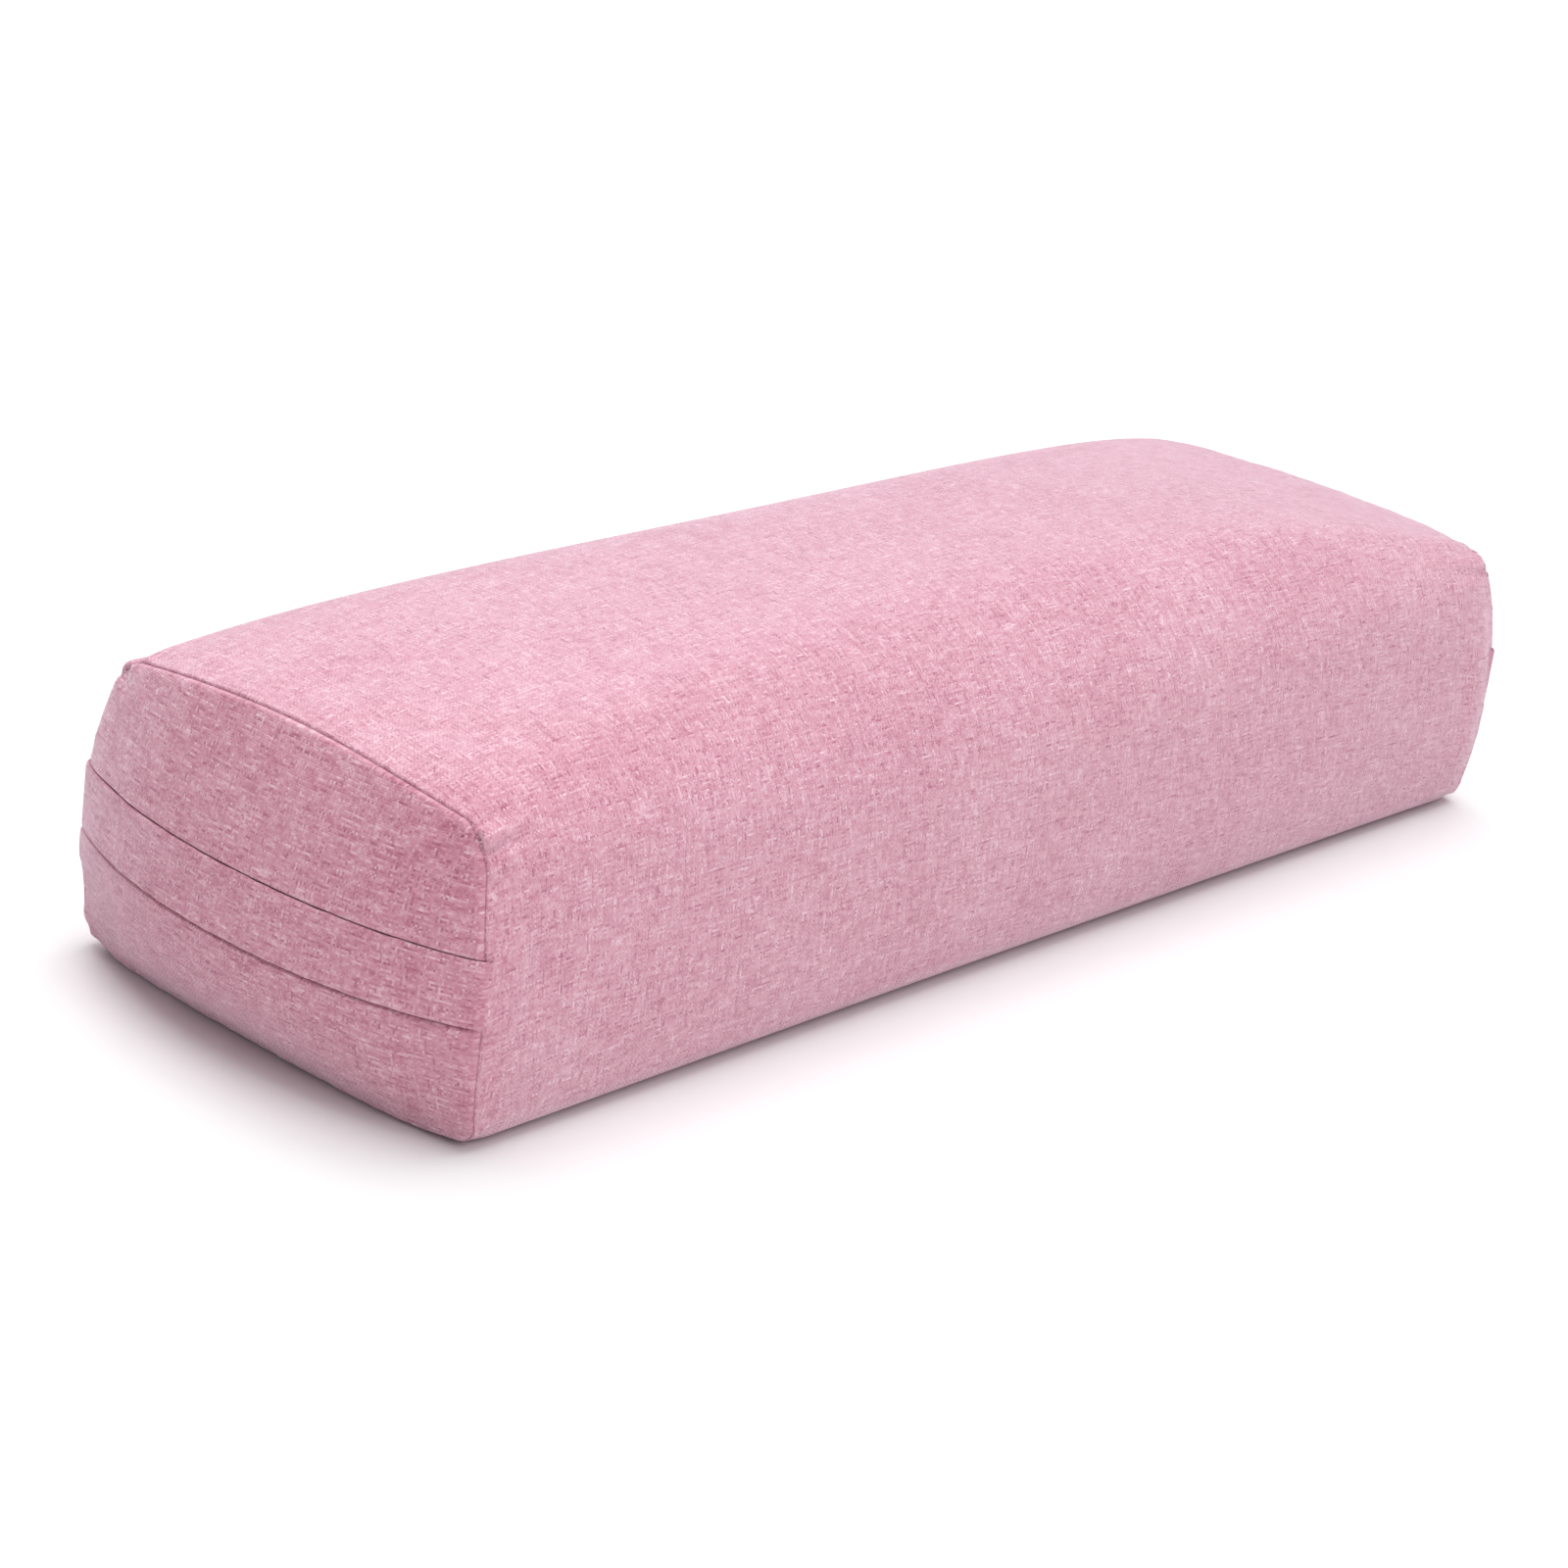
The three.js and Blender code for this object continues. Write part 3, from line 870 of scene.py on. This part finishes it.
STRAP_THICK = 1.8 * MM
STRAP_SLACK = 0.35 * MM  # how far its middle stands off the panel
STRAP_GAP = 0.25 * MM
STRAP_SAG = 0.2 * MM
STRAP_ROLL, STRAP_ROLL_WIDTH = 1.5 * MM, 2 * MM  # how it turns down into a seam
RIM_LIFT = 0.4 * MM  # how far its sewn ends stand off the seams
RIM_EASE = 8 * MM  # how soon the strap comes away from the seam's level
STRAP_STEPS, STEP_CLOSENESS = 60, 1.8  # its rings, and how much closer they are at the seam
FOLD_POINTS = 7  # round each of its two folds


def strap_section():
    """Outline of the folded band about its middle, as (out, up): flat faces and round folds."""
    half, round_half = (strap_high[2] - strap_low[2]) / 2, STRAP_THICK / 2
    angle = np.radians(np.linspace(-90, 90, FOLD_POINTS))
    fold = round_half * joined(np.sin(angle), np.cos(angle))
    top = fold + [0, half - round_half]
    face = np.linspace(half - round_half, round_half - half, FOLD_POINTS + 2)[1:-1]
    outer = joined(round_half, face)
    return np.concatenate([top, outer, -top, -outer])


def strap_half(side, way, panel_face, rim_out, edge):
    """Rings of half a strap, from its sewn end to the middle of the bolster's width."""
    section = strap_section()
    away = edge * np.linspace(0, 1, STRAP_STEPS + 1) ** STEP_CLOSENESS
    y = way * (edge - away)
    sag = STRAP_SAG * ripple(y, 0.7 * side)
    level = strap_level + section[None, :, 1] + sag[:, None]
    stand = STRAP_GAP - STRAP_PRESS + STRAP_SLACK * (1 - (y / edge) ** 4) + STRAP_THICK / 2
    stand = stand - roll(away, STRAP_ROLL, STRAP_ROLL_WIDTH)
    face = band_terms(y[:, None], level) @ panel_face
    rim_step = rim_out + RIM_LIFT - face[:1]
    face = face + np.exp(-away / RIM_EASE)[:, None] * rim_step
    grid = joined(side * (face + stand[:, None] + section[None, :, 0]), y[:, None], level)
    sewn_end = grid[:1] - [side * SEAM_TUCK, 0.5 * way * SEAM_TUCK, 0]
    return np.concatenate([sewn_end, grid])


def build_strap(side, panel_face, ends):
    """A strap as two half bands, each from the seam to the middle."""
    end = name_of(side)
    for half, way in (("front", -1), ("rear", 1)):
        grid = strap_half(side, way, panel_face, *ends[way])
        closed = np.concatenate([grid, grid[:, :1]], axis=1)
        numbers = np.arange(closed[..., 0].size).reshape(closed.shape[:2])
        faces, around = grid_faces(numbers), running_length(closed, 1)
        piece = cloth_mesh(f"strap_{end}_{half}_half", [closed], faces, closed[..., 1], around)
        close_up(piece)
        stands = [f"strap_{end}_{half}_tab"] + ([f"strap_{end}_grip"] if half == "front" else [])
        dress(piece, "strap", stands, body=None)
        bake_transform(piece)


# ---- Lofted small parts ----


class Loft:
    """Gathers closed shapes, each drawn through a row of rings, into one mesh."""

    def __init__(self):
        self.points, self.faces = [], []

    def add(self, rings, loop=False):
        """rings: an array of shape (rings, points, 3). In a loop, the last ring meets the first."""
        rings = np.asarray(rings)
        start = sum(len(part) for part in self.points)
        numbers = start + np.arange(rings.shape[0] * rings.shape[1]).reshape(rings.shape[:2])
        self.points.append(rings.reshape(-1, 3))
        if loop:
            self.faces += grid_faces(np.concatenate([numbers, numbers[:1]]), ring=True)
        else:
            self.faces += grid_faces(numbers, ring=True)
            self.faces += [numbers[0].tolist(), numbers[-1][::-1].tolist()]

    def object(self, name, crisp=None):
        obj = new_mesh(name, np.concatenate(self.points), self.faces)
        shape = bmesh.new()
        shape.from_mesh(obj.data)
        bmesh.ops.recalc_face_normals(shape, faces=shape.faces)
        for edge in shape.edges:
            edge.smooth = crisp is None or edge.calc_face_angle(0) < crisp
        shape.to_mesh(obj.data)
        shape.free()
        smooth(obj)
        return obj


def rod(path, radius, side_way, flat=1.0, sides=8):
    """Rings round a path of points: side_way is one way across it, and flat squeezes the other."""
    path = np.asarray(path, float)
    along = unit(np.gradient(path, axis=0))
    across = np.broadcast_to(np.asarray(side_way, float), path.shape)
    over = unit(np.cross(along, across))
    turn = np.linspace(0, 2 * np.pi, sides, endpoint=False)[None, :, None]
    radius = np.broadcast_to(radius, len(path))[:, None, None]
    ring = np.cos(turn) * across[:, None] + flat * np.sin(turn) * over[:, None]
    return path[:, None] + radius * ring


def plate(outline, low, high, bevel, place):
    """Rings of a flat plate with eased edges. place turns (outline points, level) into 3-D points."""
    middle = outline.mean(axis=0)
    inset = middle + (outline - middle) * (1 - bevel / np.abs(outline - middle).max(axis=0))
    levels = ((inset, low), (outline, low + bevel), (outline, high - bevel), (inset, high))
    return np.stack([place(points, level) for points, level in levels])


def rounded(long, wide, corner=3.0, count=32, nose=0.0):
    """A rounded oblong about its middle. nose makes its first end wider than its last."""
    turn = np.linspace(0, 2 * np.pi, count, endpoint=False)
    cos, sin = np.cos(turn), np.sin(turn)
    x = long / 2 * np.sign(cos) * np.abs(cos) ** (2 / corner)
    y = wide / 2 * np.sign(sin) * np.abs(sin) ** (2 / corner)
    return joined(x, y * (1 - nose * x / long))


# ---- Zip ----

TAPE_SUNK, TAPE_THICK, TAPE_GAP = 1.9 * MM, 0.6 * MM, 0.3 * MM
COIL_PITCH, COIL_RADIUS, TACK_RADIUS = 1.3 * MM, 0.306 * MM, 0.24 * MM
coil_low, coil_high = (np.array(c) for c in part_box("zip_coil_upper"))
tape_low, tape_high = (np.array(c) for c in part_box("zip_tape_upper"))
slider_low, slider_high = (np.array(c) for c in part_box("zip_slider"))
pull_low, pull_high = (np.array(c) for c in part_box("zip_pull_tab"))
slider_middle = (slider_low + slider_high) / 2
pull_half, pull_level = (pull_high[2] - pull_low[2]) / 2, (pull_low[1] + pull_high[1]) / 2
coil_half = 0.97 * (coil_high[2] - zip_level)


def zip_face(x):
    """How far back the cover stands along the zip."""
    u = np.linspace(-1, 1, 401)
    line_points = placed(np.full_like(u, half_width), np.full_like(u, zip_level), u)
    return np.interp(x, line_points[:, 0], line_points[:, 1])


def build_tapes():
    x = np.linspace(tape_low[0], tape_high[0], 420)
    for row, side in (("upper", 1), ("lower", -1)):
        from_middle = np.linspace(TAPE_GAP, tape_high[2] - zip_level, 26)
        rib = 0.07 * MM * np.cos(2 * np.pi * from_middle / (1.5 * MM))
        y = zip_face(x)[:, None] - TAPE_SUNK + rib[None]
        grid = joined(x[:, None], y, zip_level + side * from_middle)
        name = f"zip_tape_{row}_web"
        obj = cloth_object(name, grid, grid[..., 0], grid[..., 2], side > 0, TAPE_THICK)
        dress(obj, "zip_tape", [f"zip_tape_{row}"])


def build_coils():
    """Each row is a coil of nylon, seen as arched teeth that reach between those of the other row."""
    # One tooth from its foot on the tape to its hooked head, as shares of the coil's height, and the
    # depth under the cover's face.
    levels = np.array([1.0, 0.97, 0.78, 0.4, 0.0, -0.16, -0.2])
    depths = np.array([1.45, 0.95, 0.55, 0.45, 0.5, 0.8, 1.3]) * MM
    count = int(2 * coil_high[0] / COIL_PITCH)
    for row, side in (("upper", 1), ("lower", -1)):
        loft = Loft()
        for k in range(count):
            x = coil_low[0] + (k + 0.5 + 0.25 * side) * COIL_PITCH
            path = joined(x, zip_face(x) - depths, zip_level + side * coil_half * levels)
            loft.add(rod(path, COIL_RADIUS, (1, 0, 0), flat=1.15, sides=6))
        obj = loft.object(f"zip_coil_{row}_teeth")
        dress(obj, "zip_coil", [f"zip_coil_{row}"])


def build_tacks():
    """Close stitches of thread across the ends of the coils."""
    for end in SIDES:
        low, high = (np.array(c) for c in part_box(f"zip_tack_{end}"))
        loft = Loft()
        for k, x in enumerate(np.linspace(low[0] + 0.3 * MM, high[0] - 0.3 * MM, 8)):
            z = np.linspace(low[2], high[2], 9)
            share = np.linspace(-1, 1, len(z))
            y = zip_face(x) - 0.35 * MM - 1.2 * MM * share**6 + 0.1 * MM * math.sin(5 * k)
            lean = 0.25 * MM * (k % 2 - 0.5) * share
            loft.add(rod(joined(x + lean, y, z), TACK_RADIUS, (1, 0, 0)))
        obj = loft.object(f"zip_tack_{end}_thread")
        dress(obj, "thread", [f"zip_tack_{end}"])


STITCH_PITCH, STITCH_LENGTH, STITCH_RADIUS = 3.4 * MM, 2.5 * MM, 0.22 * MM
STITCH_START = 6 * MM  # from the end seams
STITCH_LIFT = np.array([-0.35, 0.12, 0.22, 0.12, -0.35]) * MM  # a stitch dives at both its ends


def build_slot_stitches(face, normal, around):
    """A row of stitches along each edge of the slot, which hold the zip's tapes."""
    loft = Loft()
    for away in (around, around[:, -1:] - around):
        column = np.abs(away[len(away) // 2] - STITCH_INSET).argmin()
        points, out = face[:, column], normal[:, column]
        length = running_length(points, 0)
        for start in np.arange(STITCH_START, length[-1] - STITCH_START, STITCH_PITCH):
            at = start + STITCH_LENGTH * np.linspace(0, 1, len(STITCH_LIFT))
            path = between(at, length, points) + STITCH_LIFT[:, None] * between(at, length, out)
            loft.add(rod(path, STITCH_RADIUS, (0, 0, 1), sides=6))
    dress(loft.object("cover_slot_stitches"), "thread")


SLIDER_WALL, EAR_WALL, EAR_LONG = 1.2 * MM, 0.9 * MM, 4 * MM
BAR_RADIUS, EYE_RADIUS = 0.7 * MM, 1.0 * MM  # the bar, and the hole in the pull that it goes through


def facing_back(points, level):
    """Places an outline against the cover's back: its width runs upward."""
    return joined(slider_middle[0] + points[:, 0], level, zip_level + points[:, 1])


def facing_up(z):
    """A way to place an outline level with the floor, about the height z: its width runs backward."""
    return lambda points, level: joined(slider_middle[0] + points[:, 0], points[:, 1], z + level)


def build_slider():
    """A cast body with a rail along each side for the coils, and a bar between two ears."""
    long, wide = (slider_high - slider_low)[[0, 2]]
    under = zip_face(slider_middle[0]) + 0.3 * MM
    loft = Loft()
    outline = rounded(long, wide, nose=0.5)
    loft.add(plate(outline * [1, 0.83], under, under + SLIDER_WALL, 0.3 * MM, facing_back))
    rail = rounded(long * 0.96, SLIDER_WALL, corner=5.0)
    for side in (-1, 1):
        offset = [0, side * (wide / 2 - SLIDER_WALL / 2)]
        rings = plate(rail + offset, slider_low[1], under + SLIDER_WALL * 0.9, 0.25 * MM, facing_back)
        loft.add(rings)
    ear_inner, height = pull_half + 0.3 * MM, slider_high[1] - under
    ear = rounded(EAR_LONG, height, corner=2.6) + [0, under + height / 2]
    for side in (-1, 1):
        z = zip_level + side * (ear_inner + EAR_WALL / 2)
        loft.add(plate(ear, -EAR_WALL / 2, EAR_WALL / 2, 0.25 * MM, facing_up(z)))
    levels = zip_level + (ear_inner + EAR_WALL) * np.linspace(-1, 1, 5)
    loft.add(rod(joined(slider_middle[0], pull_level, levels), BAR_RADIUS, (1, 0, 0), sides=20))
    obj = loft.object("zip_slider_body", crisp=math.radians(50))
    dress(obj, "zip_metal", ["zip_slider"], body="zip_slider")


def build_pull():
    """A tongue that widens to its tip, with a dished face, on a thick round eye."""
    outer = (pull_high[1] - pull_low[1]) / 2
    loft = Loft()
    share = np.linspace(0, 1, 30)
    start = slider_middle[0] + 1.3 * MM
    x = start + (pull_high[0] - start) * share
    width = pull_half * (0.62 + 0.3 * share) * np.sqrt(np.clip(1 - share**14, 0.02, 1))
    depth = 0.5 * MM * np.sqrt(np.clip(1 - share**20, 0.05, 1))
    y_share, z_share = rounded(2, 2, corner=2 / 0.55, count=24).T[::-1]
    dish = np.exp(-(((share - 0.72) / 0.16) ** 4))[:, None] * (1 - 0.4 * (1 - z_share[None] ** 2))
    y = pull_level + depth[:, None] * y_share[None] * (0.65 + 0.35 * (1 - dish))
    loft.add(joined(x[:, None], y, zip_level + width[:, None] * z_share[None]))
    profile = rounded(outer - EYE_RADIUS, 2 * pull_half * 0.8, corner=4.0, count=16)
    radius = (outer + EYE_RADIUS) / 2 + profile[:, 0]
    turn = np.linspace(0, 2 * np.pi, 32, endpoint=False)[:, None]
    x, y = slider_middle[0] + radius * np.cos(turn), pull_level + radius * np.sin(turn)
    loft.add(joined(x, y, zip_level + profile[:, 1]), loop=True)
    obj = loft.object("zip_pull_tongue", crisp=math.radians(50))
    dress(obj, "zip_metal", ["zip_pull_tab"], body="zip_pull")


# ---- Filling ----


def drawn_in(grid, depth, short):
    """A grid of the settled cover, drawn in evenly towards its middle."""
    keep = [1 - short / half_length, 1 - depth / half_width, 1 - depth / widest_level]
    middle = np.array([0, 0, widest_level])
    return middle + (grid - middle) * keep


def ring_solid(name, outer, inner, u, v):
    """A sleeve with two faces, from two closed grids."""
    numbers = np.arange(outer[..., 0].size).reshape(outer.shape[:2])
    far = numbers + numbers.size
    faces = grid_faces(numbers, ring=True, flip=True) + grid_faces(far, ring=True)
    faces += grid_faces(np.stack([numbers[0], far[0]]), ring=True)
    faces += grid_faces(np.stack([numbers[-1], far[-1]]), ring=True, flip=True)
    return cloth_mesh(name, [outer, inner], faces, u, v)


def tufts(grid, height, size):
    """Uneven lumps of loose fibre, as a height for each point of a grid."""
    x, y, z = np.moveaxis(grid / size, -1, 0)
    lump = np.sin(5.1 * x + 2.3 * y) * np.sin(4.3 * y + 1.7 * z) * np.sin(4.7 * z + 2.9 * x)
    fine = np.sin(11.3 * x - 7.9 * z) * np.sin(9.7 * y + 3.1 * x)
    return height * (lump + 0.5 * fine)


# Each layer lies this deep under the settled cover, and its ends this much short of the cover's.
LINER_DEPTH, LINER_THICK, LINER_SHORT = 3.2 * MM, 0.6 * MM, 5.5 * MM
BATTING_DEPTH, BATTING_THICK, BATTING_SHORT = 5.2 * MM, 7.4 * MM, 7 * MM
PAD_THICK = 5.5 * MM
CORE_DEPTH, CORE_SHORT = 14 * MM, 14.5 * MM


def build_filling(wrap, panels):
    """The liner and the batting: a sleeve and two ends of each, and the core inside them."""
    length, girth = running_length(wrap, 0), running_length(wrap, 1)
    outer = drawn_in(wrap, LINER_DEPTH, LINER_SHORT + LINER_THICK)
    inner = drawn_in(wrap, LINER_DEPTH + LINER_THICK, LINER_SHORT + LINER_THICK)
    obj = ring_solid("liner_sleeve_cloth", outer, inner, length, girth)
    dress(obj, "liner", ["liner_sleeve"])

    wrap_short = BATTING_SHORT + PAD_THICK + MM
    outer = drawn_in(wrap, BATTING_DEPTH, wrap_short)
    outer[..., 1:] *= 1 + tufts(outer, 0.004, 16 * MM)[..., None]
    inner = drawn_in(wrap, BATTING_DEPTH + BATTING_THICK, wrap_short)
    obj = ring_solid("batting_wrap_fibre", outer, inner, length, girth)
    dress(obj, "batting", ["batting_wrap"])

    for end, side in SIDES.items():
        panel = panels[side]
        cloth = drawn_in(panel, LINER_DEPTH, LINER_SHORT)
        name = f"liner_end_{end}_cloth"
        obj = cloth_object(name, cloth, cloth[..., 1], cloth[..., 2], side < 0, LINER_THICK)
        dress(obj, "liner", [f"liner_end_{end}"])
        pad = drawn_in(panel, BATTING_DEPTH, BATTING_SHORT)
        pad[..., 0] += side * tufts(pad, 0.4 * MM, 14 * MM)
        name = f"batting_end_{end}_fibre"
        obj = cloth_object(name, pad, pad[..., 1], pad[..., 2], side < 0, PAD_THICK)
        dress(obj, "batting", [f"batting_end_{end}"])
    build_core(wrap, panels)


def build_core(wrap, panels):
    """One block of foam, with the shape of the whole cover drawn in."""
    points, faces = whole_cover(wrap, panels)[:2]
    obj = new_mesh("foam_core_block", drawn_in(points, CORE_DEPTH, CORE_SHORT), faces)
    smooth(obj)
    dress(obj, "foam", ["foam_core"])


LABEL_SUNK, LABEL_THICK, LABEL_WAVE, LABEL_RIPPLE = 1.5 * MM, 0.25 * MM, 0.15 * MM, 3 * MM


def build_label(wrap):
    """A blank satin label, sewn inside the cover above the zip."""
    low, high = (np.array(c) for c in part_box("care_label"))
    x, z = np.linspace(low[0], high[0], 24), np.linspace(low[2], high[2], 12)
    back = wrap[:, : BACK_UPPER + 1]
    rows = [np.interp(z, row[:, 2], row[:, 1]) for row in back]
    face = np.stack([np.interp(x, back[:, 0, 0], column) for column in np.array(rows).T], axis=1)
    y = face - LABEL_SUNK + LABEL_WAVE * np.sin(x[:, None] / LABEL_RIPPLE)
    grid = joined(x[:, None], y, z[None])
    obj = cloth_object("care_label_satin", grid, grid[..., 0], grid[..., 2], True, LABEL_THICK)
    dress(obj, "label", ["care_label"])


# ---- Floor, light and camera ----


def build_floor():
    bpy.ops.mesh.primitive_plane_add(size=60, location=(0, 0, -0.2 * MM))
    floor = bpy.context.object
    floor.name = "floor"
    grey = (0.84, 0.84, 0.84, 1)
    paint = Nodes("floor_paint").finished(Base_Color=grey, Roughness=0.9, Specular_IOR_Level=0.1)
    floor.data.materials.append(paint)


def aimed(name, kind, place, target, power, **shape):
    """A light at a place, turned towards its target."""
    light = bpy.data.lights.new(name, kind)
    light.energy = power
    for key, value in shape.items():
        setattr(light, key, value)
    obj = bpy.data.objects.new(name, light)
    obj.location = place
    way = Vector(target) - Vector(place)
    obj.rotation_euler = way.to_track_quat("-Z", "Y").to_euler()
    bpy.context.scene.collection.objects.link(obj)


def build_light():
    world = bpy.data.worlds.new("studio")
    bpy.context.scene.world = world
    world.use_nodes = True
    background = world.node_tree.nodes["Background"]
    background.inputs["Color"].default_value = (0.97, 0.98, 1.0, 1)
    background.inputs["Strength"].default_value = 0.38
    aimed("key", "SUN", (0.3, 0.1, 1.3), (0, 0, 0), 2.65, angle=math.radians(60))
    aimed("front_fill", "AREA", (-0.55, -1.5, 1.4), (-0.15, 0, 0), 9.5, shape="DISK", size=1.2)
    aimed("back_light", "AREA", (0.5, 1.9, 1.0), (0, 0, 0.1), 20, shape="DISK", size=1.4)


# The camera stands off the near left corner. Lengths are shares of the seam length.
VIEW_AZIMUTH, VIEW_ELEVATION, VIEW_ROLL = -50.76, 21.01, 7.66
VIEW_DISTANCE, VIEW_SHIFT_RIGHT, VIEW_SHIFT_UP = 2.5234, -0.0482, -0.0406
VIEW_AIM_HEIGHT = 0.1
LENS_MM, SENSOR_MM = 91.6, 36


def build_camera():
    azimuth, elevation, turn = (math.radians(a) for a in (VIEW_AZIMUTH, VIEW_ELEVATION, VIEW_ROLL))
    back = Vector((
        math.sin(azimuth) * math.cos(elevation),
        -math.cos(azimuth) * math.cos(elevation),
        math.sin(elevation),
    ))
    level = Vector((math.cos(azimuth), math.sin(azimuth), 0))
    plumb = back.cross(level)
    right = math.cos(turn) * level + math.sin(turn) * plumb
    up = -math.sin(turn) * level + math.cos(turn) * plumb
    seam_length = 2 * half_length
    shift = right * VIEW_SHIFT_RIGHT + up * VIEW_SHIFT_UP
    place = Vector((0, 0, VIEW_AIM_HEIGHT)) + back * VIEW_DISTANCE + shift
    data = bpy.data.cameras.new("camera")
    data.lens, data.sensor_width = LENS_MM, SENSOR_MM
    camera = bpy.data.objects.new("camera", data)
    camera.matrix_world = Matrix.Translation(place * seam_length) @ Matrix(
        (right, up, back)
    ).transposed().to_4x4()
    bpy.context.scene.collection.objects.link(camera)
    bpy.context.scene.camera = camera


# ---- The bolster ----

bpy.context.scene.view_settings.view_transform = "Standard"
build_camera()
build_light()
build_floor()
dress_frame()

wrap, panels = settled_cover()
rings = seam_rings(wrap)
build_wrap(wrap, rings)
for end, side in SIDES.items():
    build_strap(side, *build_panel(f"cover_end_{end}_cloth", side, panels[side], rings))
build_filling(wrap, panels)
build_label(wrap)
build_tapes()
build_coils()
build_tacks()
build_slider()
build_pull()
